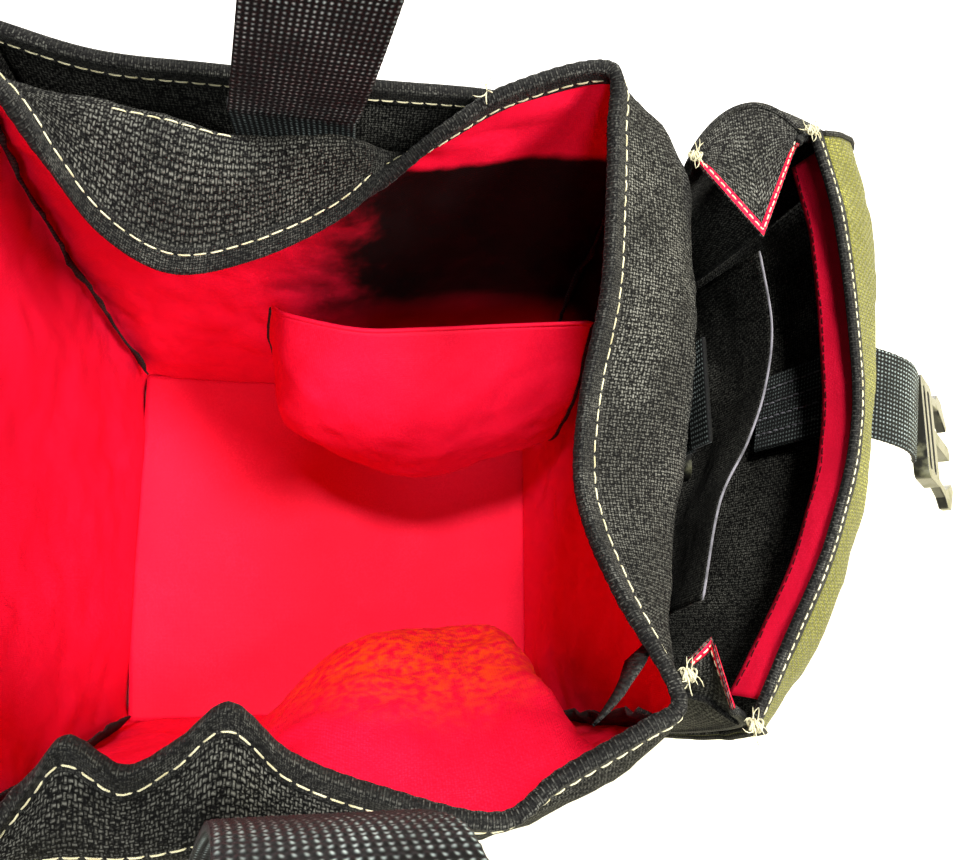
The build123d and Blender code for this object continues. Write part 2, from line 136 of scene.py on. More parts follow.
FAR_GUSSET = [
    ((111.5, 90, 14), (119, 92, 70), (121, 104, 140), (119, 117, 205), (116.5, 120, 225), (116, 117, 228)),
    ((112.3, 93, 14), (130, 104, 70), (148, 122, 140), (153, 132, 205), (138, 126, 225), (141, 92, 225)),
    (
        (112.8, 95, 14), (141.4, 110.5, 70), (175.5, 128.5, 140),
        (191.5, 143.5, 205), (160, 133.5, 225), (157, 130, 227),
    ),
]
NEAR_GUSSET = [
    ((111.2, -87.5, 20), (114, -87, 70), (113.5, -77, 140), (109.5, -60, 205), (102.5, -50, 227)),
    ((112.1, -89.8, 20), (118.5, -86, 70), (123, -79.5, 140), (119, -62, 205), (111.5, -43, 225)),
    ((112.9, -91.8, 20), (122.6, -89.5, 70), (132, -83, 140), (130.4, -70.5, 205), (117, -64, 225)),
]
DIVIDER_COLUMNS = [
    ((114.2, 86, 24), (134, 90, 70), (146, 100, 140), (143, 90, 219)),
    ((114.2, 60, 24), (138, 62, 70), (156, 65, 140), (154, 66, 205)),
    ((114.2, 40, 24), (138, 42, 70), (155, 44, 140), (152, 44, 200)),
    ((114.2, 18, 24), (136, 20, 70), (150, 22, 140), (143, 24, 201)),
    ((114.2, -8, 24), (131, -2, 70), (140, 0, 140), (129, 3, 205)),
    ((114.2, -60, 24), (121, -52, 70), (124, -42, 140), (115, -32, 214)),
]
OUTSIDE_POCKET_COLUMNS = [
    ((-108, 102, 20), (-110, 113, 80), (-112, 128, 150), (-112, 138, 222)),
    ((-80, 102, 20), (-81, 114, 80), (-82, 128, 150), (-81, 131, 222)),
    ((-46, 102, 20), (-46, 115, 80), (-47, 129, 150), (-47, 131, 222)),
    ((5, 102, 20), (5, 115, 80), (5, 130, 150), (5, 133, 221)),
    ((42, 102, 20), (42, 115, 80), (42, 130, 150), (42, 136, 219)),
    ((72, 103, 20), (73, 117, 80), (74, 130, 150), (72, 138, 214)),
]
INNER_POCKET_COLUMNS = [
    ((-34, 90, 48), (-35, 88, 62), (-36, 87, 84), (-36, 88, 108), (-34, 92, 128)),
    ((-26, 88, 34), (-28, 62, 52), (-29, 52, 84), (-28, 62, 118), (-26, 82, 146)),
    ((-4, 90, 24), (-4, 54, 44), (-4, 38, 82), (-2, 48, 120), (4, 76, 150)),
    ((30, 90, 22), (30, 48, 42), (30, 28, 80), (30, 42, 120), (30, 78, 150)),
    ((66, 90, 24), (66, 52, 44), (66, 36, 82), (66, 50, 122), (66, 82, 150)),
    ((102, 90, 30), (103, 64, 50), (104, 50, 84), (104, 64, 122), (104, 86, 150)),
]
LOOP_PROFILE = [
    (-3, 4), (-5, 26), (-5, 52), (-3, 78), (3, 98), (13, 107), (23, 101),
    (28, 84), (28, 60), (23, 34), (12, 16), (3, 4),
]
LOOP_HEIGHT = 107
LOOP_LEAN = 20
FAR_HINGE = (-20, 112.5, 237)
NEAR_HINGE = (-16, -101, 231)
NEAR_LOOP_TILT = 22
STRAP_ROOT = (198, 50, 190)
STRAP_YAW = -10
STRAP_PROFILE = [(0, 0), (14, -1), (27, -5), (36, -12), (41, -18)]
PATCH_COLUMNS = ((64, 184.2, 190.4), (31, 177.6, 185.0))
PATCH_HEIGHTS = (150, 188)
PATCH_GAP = 1.9
TAPE_END = [(89, -46, 224), (83, -53, 231), (75, -62, 233.5)]
BELLY_MIDDLE = 42
BELLY_LEFT_REACH = 66
BELLY_RIGHT_REACH = 50
BELLY_TAIL = 1.35
BELLY_PUSH = (0, 58, 34, 0, 0)


# Materials


class Shader:
    """A node material with a Principled shader, built up with short calls."""

    def __init__(self, name, **inputs):
        self.material = bpy.data.materials.new(name)
        self.material.use_nodes = True
        self.tree = self.material.node_tree
        self.surface = self.tree.nodes["Principled BSDF"]
        for key, value in inputs.items():
            self.surface.inputs[key.replace("_", " ")].default_value = value

    def node(self, kind, **settings):
        made = self.tree.nodes.new(kind)
        for key, value in settings.items():
            setattr(made, key, value)
        return made

    def put(self, value, socket):
        if isinstance(value, bpy.types.NodeSocket):
            self.tree.links.new(value, socket)
        else:
            socket.default_value = value

    def math(self, operation, a, b=0.0, clamp=False):
        made = self.node("ShaderNodeMath", operation=operation, use_clamp=clamp)
        self.put(a, made.inputs[0])
        self.put(b, made.inputs[1])
        return made.outputs[0]

    def times(self, a, b, clamp=False):
        return self.math("MULTIPLY", a, b, clamp)

    def ribs(self, value, pitch):
        """Rounded ridges, one for each pitch."""
        return self.math("ABSOLUTE", self.math("SINE", self.times(value, PI / pitch)))

    def patches(self, scale, low, high):
        """Drifting patches of painted glint that never fall below the even glint."""
        drift = self.ramp(self.noise(scale), low, high)
        return self.math("ADD", EVEN_GLINT, self.times(drift, 1 - EVEN_GLINT))

    def mix(self, share, a, b):
        made = self.node("ShaderNodeMix", data_type="RGBA")
        self.put(share, made.inputs[0])
        self.put(a, made.inputs[6])
        self.put(b, made.inputs[7])
        return made.outputs[2]

    def here(self):
        return self.node("ShaderNodeTexCoord").outputs["Object"]

    def split(self, value):
        made = self.node("ShaderNodeSeparateXYZ")
        self.put(value, made.inputs[0])
        return made.outputs

    def noise(self, scale, detail=3.0, roughness=0.55):
        made = self.node("ShaderNodeTexNoise")
        self.put(self.here(), made.inputs["Vector"])
        for key, value in (("Scale", scale), ("Detail", detail), ("Roughness", roughness)):
            made.inputs[key].default_value = value
        return made.outputs["Fac"]

    def ramp(self, value, low, high):
        made = self.node("ShaderNodeMapRange", interpolation_type="SMOOTHSTEP")
        self.put(value, made.inputs["Value"])
        made.inputs["From Min"].default_value = low
        made.inputs["From Max"].default_value = high
        return made.outputs["Result"]

    def uv(self):
        u, v, _ = self.split(self.node("ShaderNodeUVMap", uv_map=UV_NAME).outputs[0])
        return u, v

    def bump(self, height, depth, under=None):
        made = self.node("ShaderNodeBump")
        made.inputs["Distance"].default_value = depth
        self.put(height, made.inputs["Height"])
        if under is not None:
            self.put(under, made.inputs["Normal"])
        return made.outputs[0]

    def use(self, colour=None, normal=None, roughness=None):
        for value, name in ((colour, "Base Color"), (normal, "Normal"), (roughness, "Roughness")):
            if value is not None:
                self.put(value, self.surface.inputs[name])
        return self.material


CLOTH_SPECULAR = 0.12
# Share of the painted glint that every thread crown keeps
EVEN_GLINT = 0.4


def weave_height(shader, pitch):
    """Plain weave: the warp rises where the weft dips, in cells of one pitch."""
    u, v = shader.uv()
    warp = shader.math("SINE", shader.times(u, PI / pitch))
    weft = shader.math("SINE", shader.times(v, PI / pitch))
    over = shader.math("GREATER_THAN", shader.times(warp, weft), 0.0)
    under = shader.math("SUBTRACT", 1.0, over)
    high = shader.times(shader.math("ABSOLUTE", warp), over)
    low = shader.times(shader.math("ABSOLUTE", weft), under)
    return shader.math("ADD", high, low)


def painted_shade_mask(shader, field):
    """Painted shade mask: one inside a field of the cloth with a soft, wandering left edge and a level top
    edge, else zero.
    """
    x, y, z = shader.split(shader.here())
    wander = shader.math("SUBTRACT", shader.noise(55, 5.0), 0.5)
    wander = shader.times(wander, field["penumbra"])
    left = shader.ramp(shader.math("ADD", x, wander), *field["left"])
    behind = shader.ramp(y, *field["behind"])
    above = shader.ramp(z, *field["above"])
    below = shader.math("SUBTRACT", 1.0, shader.ramp(z, *field["top"]))
    return shader.times(shader.times(left, behind), shader.times(above, below))


def woven(name, dark, light, pitch, depth, patch_scale, glint=(0.42, 0.68), painted_light_pool=None, painted_shade=None,
          **inputs):
    """Woven cloth: thread crowns carry a painted highlight in patches, and a place may carry a painted
    pool of warm light or a painted shade.
    """
    shader = Shader(name, **inputs)
    shader.surface.inputs["Specular IOR Level"].default_value = CLOTH_SPECULAR
    height = weave_height(shader, pitch)
    # Painted highlight: the thread crowns take the paler colour in drifting patches
    crown = shader.math("POWER", height, 3.5)
    patches = shader.patches(patch_scale, *glint)
    glint_speckle = shader.ramp(shader.noise(900, 2.0), 0.35, 0.65)
    share = shader.times(crown, shader.times(patches, glint_speckle), clamp=True)
    colour = shader.mix(share, dark, light)
    if painted_light_pool:
        # Painted light: a mottled pool of warm orange light around one place
        middle, reach, painted_light = painted_light_pool
        away = shader.node("ShaderNodeVectorMath", operation="DISTANCE")
        shader.put(shader.here(), away.inputs[0])
        away.inputs[1].default_value = middle
        near = shader.math("SUBTRACT", 1.0, shader.ramp(away.outputs["Value"], reach * 0.45, reach))
        mottle = shader.ramp(shader.noise(210, 5.0), 0.36, 0.66)
        colour = shader.mix(shader.times(near, mottle), colour, painted_light)
    if painted_shade:
        # Painted shade: the field is coloured near black
        colour = shader.mix(painted_shade_mask(shader, painted_shade), colour, painted_shade["colour"])
    normal = shader.bump(height, depth)
    normal = shader.bump(shader.noise(70, 4.0), 0.0006, normal)
    return shader.use(colour, normal)


def ribbed(name, dark, light):
    """Heavy webbing: rows of raised yarn crossings."""
    shader = Shader(name, Roughness=0.6, Sheen_Weight=0.04, Sheen_Roughness=0.4)
    shader.surface.inputs["Specular IOR Level"].default_value = CLOTH_SPECULAR
    u, v = shader.uv()
    across = shader.ribs(u, WEBBING_PITCH * MM)
    along = shader.ribs(v, WEBBING_PITCH * MM * ROW_SHARE)
    crowns = shader.times(across, along)
    patches = shader.patches(60, 0.38, 0.66)
    # Painted highlight: the raised yarn crossings are coloured lighter in drifting patches
    share = shader.times(shader.math("POWER", crowns, 5.0), patches, clamp=True)
    strands = shader.ribs(shader.math("ADD", u, v), 0.00035)
    normal = shader.bump(strands, 0.00008)
    return shader.use(shader.mix(share, dark, light), normal)


def thread_material(name, dark, light):
    shader = Shader(name, Roughness=0.6, Sheen_Weight=0.3)
    u, v = shader.uv()
    twist = shader.ribs(shader.math("ADD", u, v), 0.0005)
    # Painted highlight: the twist ridges are coloured lighter in patches
    painted_light = shader.times(twist, shader.ramp(shader.noise(140), 0.25, 0.6))
    return shader.use(shader.mix(painted_light, dark, light), shader.bump(twist, 0.00012))


def plastic_material(name):
    """Moulded acetal: nearly black, with faint texture and paler olive patches of painted highlight."""
    shader = Shader(name)
    shader.surface.inputs["Specular IOR Level"].default_value = 0.6
    painted_light = shader.ramp(shader.noise(120, 5.0), 0.52, 0.72)
    # Painted highlight: olive patches on the black, which are also rougher
    colour = shader.mix(painted_light, (0.012, 0.012, 0.010, 1), (0.10, 0.10, 0.055, 1))
    rough = shader.math("ADD", 0.28, shader.times(painted_light, 0.25))
    return shader.use(colour, shader.bump(shader.noise(2200, 2.0), 0.00006), rough)


def board_material(name):
    shader = Shader(name, Roughness=0.8)
    fibre = shader.ramp(shader.noise(260, 6.0), 0.3, 0.7)
    colour = shader.mix(fibre, (0.09, 0.08, 0.06, 1), (0.18, 0.16, 0.12, 1))
    return shader.use(colour, shader.bump(fibre, 0.0002))


def floor_material(name):
    """A floor painted white as a pool of light, turning to its own cream towards the near right."""
    shader = Shader(name, Roughness=0.7)
    x, y, _ = shader.split(shader.here())
    # Painted light: white away from the near right, the floor's own cream near it
    nearness = shader.ramp(shader.math("SUBTRACT", shader.times(x, 0.6), y), 0.02, 0.34)
    colour = shader.mix(nearness, (0.93, 0.93, 0.90, 1), (0.86, 0.82, 0.56, 1))
    return shader.use(colour, shader.bump(shader.noise(400, 3.0), 0.0002))


# Colour pairs here and below: the cloth's own colour, then the paler colour painted on its thread crowns
# as highlight
RED_SHADES = ((0.74, 0.004, 0.032, 1), (0.92, 0.013, 0.062, 1))
OUTER = woven("black_weave", (0.0016, 0.0016, 0.0015, 1), (0.20, 0.20, 0.17, 1), 0.0012, 0.00035, 26,
              (0.42, 0.74), Roughness=0.85, Sheen_Weight=0.0)
# The pocket front's black cloth, coloured olive as painted warm light from the right
BLACK_WEAVE_OLIVE_LIGHT = woven("black_weave_painted_olive_light", (0.08, 0.078, 0.012, 1), (0.38, 0.37, 0.065, 1), 0.0012, 0.0003, 30,
             Roughness=0.7, Sheen_Weight=0.12, Sheen_Roughness=0.45)
RED = woven("red_taffeta", *RED_SHADES, 0.0007, 0.00006, 40,
            Roughness=0.62)
# The near lining's red with a painted pool of warm orange light on its belly
RED_WARM_LIGHT_POOL = woven("red_taffeta_warm_light_pool", *RED_SHADES, 0.0010, 0.0001,
                 48, (0.30, 0.62), ((0.042, -0.048, 0.085), 0.095, (0.93, 0.075, 0.010, 1)), Roughness=0.6)
# Painted shade: a near-black field on the far lining behind the inner pocket's mouth, in metres
PAINTED_SHADE_FIELD = {
    "left": (-0.045, 0.012), "behind": (0.060, 0.075), "above": (0.070, 0.110),
    "top": (0.203, 0.208), "penumbra": 0.06, "colour": (0.004, 0.001, 0.001, 1),
}
RED_PAINTED_SHADE = woven("red_taffeta_painted_shade", *RED_SHADES, 0.0007,
                 0.00006, 40, painted_shade=PAINTED_SHADE_FIELD, Roughness=0.62)
TAPE = woven("black_grosgrain", (0.0018, 0.0018, 0.0017, 1), (0.10, 0.10, 0.085, 1), 0.0009, 0.00025, 60,
             Roughness=0.72, Sheen_Weight=0.03)
SEAM = woven("dark_red_seam", (0.03, 0.0015, 0.003, 1), (0.10, 0.003, 0.006, 1), 0.0006, 0.0001, 90,
             Roughness=0.8)
WEB = ribbed("black_webbing", (0.0012, 0.0015, 0.0015, 1), (0.38, 0.46, 0.44, 1))
CREAM = thread_material("cream_thread", (0.42, 0.37, 0.18, 1), (0.82, 0.77, 0.50, 1))
GREY_THREAD = thread_material("grey_thread", (0.04, 0.038, 0.045, 1), (0.22, 0.21, 0.24, 1))
PLASTIC = plastic_material("black_acetal")
BOARD = board_material("stiff_board")


# Smooth surfaces


def spline(points, counts, closed=False):
    """Centripetal Catmull-Rom through rows of points, with so many samples in each span."""
    rows = np.asarray(points, float)
    if closed:
        padded = np.concatenate([rows[-1:], rows, rows[:2]])
    else:
        padded = np.concatenate([[2 * rows[0] - rows[1]], rows, [2 * rows[-1] - rows[-2]]])
    samples = []
    for span, count in enumerate(counts):
        p0, p1, p2, p3 = padded[span:span + 4]
        gaps = [np.sqrt(np.linalg.norm(b - a, axis=-1, keepdims=True)) + 1e-6
                for a, b in ((p0, p1), (p1, p2), (p2, p3))]
        t1 = gaps[0]
        t2 = t1 + gaps[1]
        t3 = t2 + gaps[2]
        for step in range(count):
            t = t1 + (t2 - t1) * step / count
            a1 = (t1 - t) / t1 * p0 + t / t1 * p1
            a2 = (t2 - t) / (t2 - t1) * p1 + (t - t1) / (t2 - t1) * p2
            a3 = (t3 - t) / (t3 - t2) * p2 + (t - t2) / (t3 - t2) * p3
            b1 = (t2 - t) / t2 * a1 + t / t2 * a2
            b2 = (t3 - t) / (t3 - t1) * a2 + (t - t1) / (t3 - t1) * a3
            samples.append((t2 - t) / (t2 - t1) * b1 + (t - t1) / (t2 - t1) * b2)
    if not closed:
        samples.append(rows[-1])
    return np.array(samples)


def span_counts(points, step, closed=False):
    """How many samples each span needs so that none is longer than about one step."""
    rows = np.asarray(points, float)
    after = np.roll(rows, -1, axis=0)
    length = np.linalg.norm(after - rows, axis=-1)
    length = length.reshape(len(rows), -1).max(axis=1)
    if not closed:
        length = length[:-1]
    return [max(2, int(math.ceil(value / step))) for value in length]


def surface(columns, step=3.5, closed=False, level_counts=None):
    """A dense grid through a table of columns, and where each table column falls in it."""
    table = np.asarray(columns, float)
    levels = table.transpose(1, 0, 2)
    if level_counts is None:
        level_counts = span_counts(levels, step)
    tall = spline(levels, level_counts).transpose(1, 0, 2)
    counts = span_counts(tall, step, closed)
    return spline(tall, counts, closed), np.concatenate([[0], np.cumsum(counts)])


def unit(vectors):
    return vectors / np.maximum(np.linalg.norm(vectors, axis=-1, keepdims=True), 1e-9)


def normals(grid, closed=False):
    """Outward directions of a grid: up the column crossed with along the ring."""
    if closed:
        along = np.roll(grid, -1, axis=0) - np.roll(grid, 1, axis=0)
    else:
        along = np.gradient(grid, axis=0)
    up = np.gradient(grid, axis=1)
    return unit(np.cross(up, along))


def crumple(grid, directions, amount, size, seed, fade_low=0.12, fade_high=0.18):
    """Pushes a grid in and out along its normals in soft folds that die out at both edges."""
    high = grid.shape[1]
    level = np.linspace(0, 1, high)
    fade = np.clip(level / fade_low, 0, 1) * np.clip((1 - level) / fade_high, 0, 1)
    shift = np.zeros(grid.shape[:2])
    offset = Vector((seed * 7.3, seed * 3.1, seed * 5.7))
    for i in range(grid.shape[0]):
        for j in range(high):
            if fade[j] > 0:
                place = Vector(grid[i, j]) / size + offset
                shift[i, j] = noise.noise(place) + 0.45 * noise.noise(place * 2.7)
    return grid + directions * (shift * fade * amount)[..., None]


def settled(columns, amount, size, seed, step=3.2):
    """A crumpled surface through a table of columns, and its outward directions."""
    grid, _ = surface(columns, step)
    grid = crumple(grid, normals(grid), amount, size, seed)
    return grid, normals(grid)


def travelled(path):
    """How far along a path each of its points lies."""
    return np.concatenate([[0], np.cumsum(np.linalg.norm(np.diff(path, axis=0), axis=-1))])


class Sheet:
    """Gathers vertices, faces and weave coordinates, then becomes one object."""

    def __init__(self):
        self.vertices = []
        self.faces = []
        self.coordinates = []
        self.count = 0

    def add(self, vertices, faces, coordinates):
        self.vertices.append(np.asarray(vertices, float).reshape(-1, 3))
        self.coordinates.append(np.asarray(coordinates, float).reshape(-1, 2))
        self.faces.append(np.asarray(faces, int) + self.count)
        self.count += len(self.vertices[-1])

    def slab(self, outer, inner):
        """The closed shell between two grids of the same shape."""
        wide, high = outer.shape[:2]
        near_side = np.arange(wide * high).reshape(wide, high)
        far_side = near_side + wide * high

        def patch(cells, flip):
            quads = np.stack([cells[:-1, :-1], cells[1:, :-1], cells[1:, 1:], cells[:-1, 1:]], -1)
            quads = quads.reshape(-1, 4)
            return quads[:, ::-1] if flip else quads

        def rim(a, b):
            return np.stack([a[:-1], b[:-1], b[1:], a[1:]], -1)

        faces = np.concatenate([
            patch(near_side, True), patch(far_side, False),
            rim(far_side[:, 0], near_side[:, 0]), rim(near_side[:, -1], far_side[:, -1]),
            rim(near_side[0], far_side[0]), rim(far_side[-1], near_side[-1]),
        ])
        span = np.linalg.norm(np.diff(outer, axis=0), axis=-1).mean(axis=1)
        rise = np.linalg.norm(np.diff(outer, axis=1), axis=-1).mean(axis=0)
        u = np.concatenate([[0], np.cumsum(span)]) * MM
        v = np.concatenate([[0], np.cumsum(rise)]) * MM
        flat = np.stack(np.meshgrid(u, v, indexing="ij"), -1).reshape(-1, 2)
        both = np.concatenate([outer.reshape(-1, 3), inner.reshape(-1, 3)])
        self.add(both, faces, np.concatenate([flat, flat]))

    def tube(self, path, radius, sides=7, hint=(0, 0, 1), ends=0.35):
        """A round thread or cord along a path, with narrowed ends."""
        path = np.asarray(path, float)
        along = unit(np.gradient(path, axis=0))
        guide = np.broadcast_to(np.asarray(hint, float), path.shape)
        side = unit(np.cross(along, guide) + 1e-6)
        top = np.cross(side, along)
        thick = np.full(len(path), float(radius))
        thick[0] *= ends
        thick[-1] *= ends
        turn = np.arange(sides) * 2 * PI / sides
        ring = (side[:, None] * np.cos(turn)[None, :, None]
                + top[:, None] * np.sin(turn)[None, :, None])
        self.loft(path[:, None] + ring * thick[:, None, None], travelled(path), turn * radius)

    def loft(self, rings, along, around):
        """A tube through rings of points, closed at both ends."""
        count, sides = rings.shape[:2]
        cells = np.arange(count * sides).reshape(count, sides)
        after = np.roll(cells, -1, axis=1)
        walls = np.stack([cells[:-1], after[:-1], after[1:], cells[1:]], -1).reshape(-1, 4)
        first, last = count * sides, count * sides + 1
        caps = [(after[0, k], cells[0, k], first, first) for k in range(sides)]
        caps += [(cells[-1, k], after[-1, k], last, last) for k in range(sides)]
        flat = np.stack(np.meshgrid(along, around, indexing="ij"), -1).reshape(-1, 2)
        self.add(np.concatenate([rings.reshape(-1, 3), rings[:1].mean(1), rings[-1:].mean(1)]),
                 np.concatenate([walls, np.array(caps)]),
                 np.concatenate([flat, [[0, 0], [along[-1], 0]]]) * MM)

    def build(self, name, material):
        vertices = np.concatenate(self.vertices) * MM
        faces = [tuple(dict.fromkeys(face)) for face in np.concatenate(self.faces).tolist()]
        mesh = bpy.data.meshes.new(name)
        mesh.from_pydata(vertices.tolist(), [], faces)
        mesh.materials.append(material)
        mesh.polygons.foreach_set("use_smooth", np.ones(len(faces), bool))
        flat = np.concatenate(self.coordinates)
        index = np.zeros(len(mesh.loops), int)
        mesh.loops.foreach_get("vertex_index", index)
        layer = mesh.uv_layers.new(name=UV_NAME)
        layer.data.foreach_set("uv", flat[index].reshape(-1))
        mesh.validate()
        made = bpy.data.objects.new(name, mesh)
        bpy.context.scene.collection.objects.link(made)
        tidy = bmesh.new()
        tidy.from_mesh(mesh)
        bmesh.ops.recalc_face_normals(tidy, faces=tidy.faces)
        tidy.to_mesh(mesh)
        tidy.free()
        return made


def place(sheet, name, material, body, *nodes):
    """Makes the piece, lets it ride on its body and stand for its plain nodes."""
    made = sheet.build(name, material)
    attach(made, body)
    if nodes:
        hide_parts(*nodes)
    return made


def cloth_piece(name, grid, directions, outer, inner, material, body, *nodes):
    sheet = Sheet()
    sheet.slab(grid + directions * outer, grid + directions * inner)
    return place(sheet, name, material, body, *nodes)


def stitch_line(sheet, path, directions, lift=0.0, pitch=STITCH_PITCH, length=STITCH_LENGTH,
                radius=THREAD):
    """A row of thread stitches that dip into the cloth at both ends."""
    path = np.asarray(path, float)
    reached = travelled(path)

    def at(distance):
        here = np.array([np.interp(distance, reached, path[:, k]) for k in range(3)])
        facing = np.array([np.interp(distance, reached, directions[:, k]) for k in range(3)])
        return here, facing

    for number in range(int(reached[-1] // pitch)):
        start = number * pitch + (pitch - length) / 2
        points = []
        facings = []
        for share, rise in ((0, -0.7), (0.14, 0.35), (0.5, 0.62), (0.86, 0.35), (1, -0.7)):
            here, facing = at(start + share * length)
            sway = 0.14 * math.sin(number * 2.4)
            side = unit(np.cross(facing, np.array([0.3, 0.2, 0.9])))
            points.append(here + facing * (lift + rise * radius) + side * sway)
            facings.append(facing)
        sheet.tube(points, radius, 6, unit(facings[2]), 0.6)


def both_faces(sheet, line, facing, outer, inner, *stitch):
    """Stitches on both faces of a hem."""
    stitch_line(sheet, line + facing * outer, facing, *stitch)
    stitch_line(sheet, line - facing * inner, -facing, *stitch)


def frayed(sheet, centre, count, reach, seed, radius=0.22):
    """Loose thread ends that curl away from one place."""
    for number in range(count):
        angle = number * 2.399 + seed
        rise = 0.35 + 0.5 * math.sin(seed * 3 + number * 1.7)
        points = []
        for step in range(6):
            share = step / 5
            bend = angle + share * 1.3 * math.sin(number + seed)
            points.append([
                centre[0] + reach * share * math.cos(bend) * (0.6 + 0.4 * math.sin(number * 5.1)),
                centre[1] + reach * share * math.sin(bend),
                centre[2] + reach * share * rise * 0.5,
            ])
        sheet.tube(points, radius, 5)


# The ring of walls


def climb(base, shoulder, rim):
    """The six points of one wall column, from the base edge to the rim."""
    foot = np.array([base[0], base[1], 1.4])
    top = np.array(shoulder, float)
    edge = np.array(rim, float)
    out = unit(np.array([base[0] / BASE_REACH[0], base[1] / BASE_REACH[1], 0])) * BELLY
    low = foot + (top - foot) * 0.33 + out
    middle = foot + (top - foot) * 0.68 + out
    hem = edge + unit(top - edge) * HEM_WIDTH
    return [foot, low, middle, top, hem, edge]


ring_table = [climb(*row) for row in FAR_COLUMNS + RIGHT_COLUMNS + NEAR_COLUMNS + LEFT_COLUMNS]
LEVELS = (16, 16, 18, 14, 4)
HEM_ROW = sum(LEVELS[:4])
ring, ring_marks = surface(ring_table, 3.2, True, LEVELS)
ring_out = normals(ring, True)
ring = crumple(ring, ring_out, 2.3, 34, 1)
ring = crumple(ring, ring_out, 0.7, 11, 2)
ring_out = normals(ring, True)

far_end = len(FAR_COLUMNS)
right_end = far_end + len(RIGHT_COLUMNS)
near_end = right_end + len(NEAR_COLUMNS)
WALLS = {
    "far": (0, far_end - 1),
    "right_end": (far_end - 1, right_end - 1),
    "near": (right_end - 1, near_end - 1),
    "left_end": (near_end - 1, len(ring_table)),
}


def wall_part(values, side, low=0, high=None):
    first, last = WALLS[side]
    taken = np.arange(ring_marks[first], ring_marks[last] + 1) % len(values)
    return values[taken][:, low:high]


def near_belly(grid):
    """The near lining hangs loose and bellies into the bag."""
    off_middle = grid[:, :1, 0] - BELLY_MIDDLE
    right = np.clip(1 - (off_middle / BELLY_RIGHT_REACH) ** 4, 0, None)
    left = np.cos(np.clip(-off_middle / (BELLY_LEFT_REACH * BELLY_TAIL), 0, 1) * PI / 2)
    share = np.where(off_middle > 0, right, left)
    level = np.linspace(0, 4, grid.shape[1])
    push = np.interp(level, range(5), BELLY_PUSH)
    window = np.hanning(13) / np.hanning(13).sum()
    smooth = np.convolve(np.pad(push, 6, mode="edge"), window, "valid")
    smooth *= np.clip(level / 0.3, 0, 1) * np.clip((4 - level) / 0.8, 0, 1)
    moved = grid.copy()
    moved[..., 1] += share * share * (3 - 2 * share) * smooth[None]
    return moved


for side in WALLS:
    grid = wall_part(ring, side, 0, HEM_ROW + 1)
    facing = wall_part(ring_out, side, 0, HEM_ROW + 1)
    cloth_piece(f"{side}_wall_cloth", grid, facing, 0, -CLOTH, OUTER, "bag",
                f"{side}_panel", f"{side}_top_band")
    hung = grid - facing * (CLOTH + LINING_GAP)
    if side == "near":
        hung = near_belly(hung)
    away = normals(hung)
    hung = hung - away * np.abs(crumple(hung, away, 1.5, 22, 5) - hung).sum(-1, keepdims=True)
    # The near lining carries the painted pool of warm light, and the far and right linings carry the
    # painted shade
    lining = {"near": RED_WARM_LIGHT_POOL, "left_end": RED}.get(side, RED_PAINTED_SHADE)
    cloth_piece(f"{side}_lining_cloth", hung, normals(hung), 0, -LINING, lining, "bag",
                f"{side}_lining")

# Rolled and stitched rim
HEM_SECTION = [
    (8.6, -0.1), (8.3, 0.75), (7.2, 0.95), (6.4, 0.72), (5.4, 1.0), (3.6, 1.15), (2.0, 1.55),
    (0.8, 1.45), (0.1, 0.4), (0.0, -0.75), (0.1, -1.9), (0.8, -2.95), (2.0, -3.05), (3.6, -2.6),
    (5.4, -2.5), (6.4, -2.25), (7.2, -2.45), (8.3, -2.25), (8.6, -1.4),
]
STITCH_DEPTH = 6.4
HEM_FACE = 0.8
HEM_BACK = 2.4
# Lift, pitch and length of a finer stitch
THIN_STITCH = (0, 3.6, 2.7)


def rolled_hem(sheet, foot, edge, facing, section=HEM_SECTION):
    """A folded band around an edge, following it point by point."""
    toward = unit(edge - foot)
    rings = np.stack([edge - toward * depth + facing * out for depth, out in section], 1)
    around = np.array([depth if out > 0 else 20 - depth for depth, out in section])
    sheet.loft(rings, travelled(edge), around)
    return toward


fine, fine_marks = surface(ring_table, 1.3, True, LEVELS)
fine_out = normals(fine, True)
for side, (first, last) in WALLS.items():
    taken = np.arange(fine_marks[first], fine_marks[last] + 1) % len(fine)
    foot, edge = fine[taken, HEM_ROW], fine[taken, -1]
    facing = fine_out[taken, -2]
    pucker = 0.16 * np.sin(np.arange(len(edge)) * 1.3 * 2 * PI / STITCH_PITCH)[:, None]
    hem = Sheet()
    toward = rolled_hem(hem, foot, edge + facing * pucker, facing)
    place(hem, f"{side}_rim_band", TAPE, "bag", f"{side}_rim_hem")
    seam = Sheet()
    line = edge - toward * STITCH_DEPTH
    both_faces(seam, line, facing, HEM_FACE, HEM_BACK)
    place(seam, f"{side}_rim_stitches", CREAM, "bag")


def on_ring(column, level):
    """A point and its outward direction at a place on the ring, in table steps."""
    whole = int(column)
    across = ring_marks[whole] + (column - whole) * (ring_marks[whole + 1] - ring_marks[whole])
    up = np.interp(level, range(6), np.concatenate([[0], np.cumsum(LEVELS)]))
    i, j = int(across), min(int(up), ring.shape[1] - 2)

    def between(values):
        first, second = values[i % len(ring)], values[(i + 1) % len(ring)]
        low = first[j] + (second[j] - first[j]) * (across - i)
        high = first[j + 1] + (second[j + 1] - first[j + 1]) * (across - i)
        return low + (high - low) * (up - j)

    return between(ring), between(ring_out)


def ring_line(start, end, samples=24):
    """A line over the wall between two (column, level) places."""
    found = [on_ring(start[0] + (end[0] - start[0]) * k / (samples - 1),
                     start[1] + (end[1] - start[1]) * k / (samples - 1)) for k in range(samples)]
    return np.array([f[0] for f in found]), np.array([f[1] for f in found])


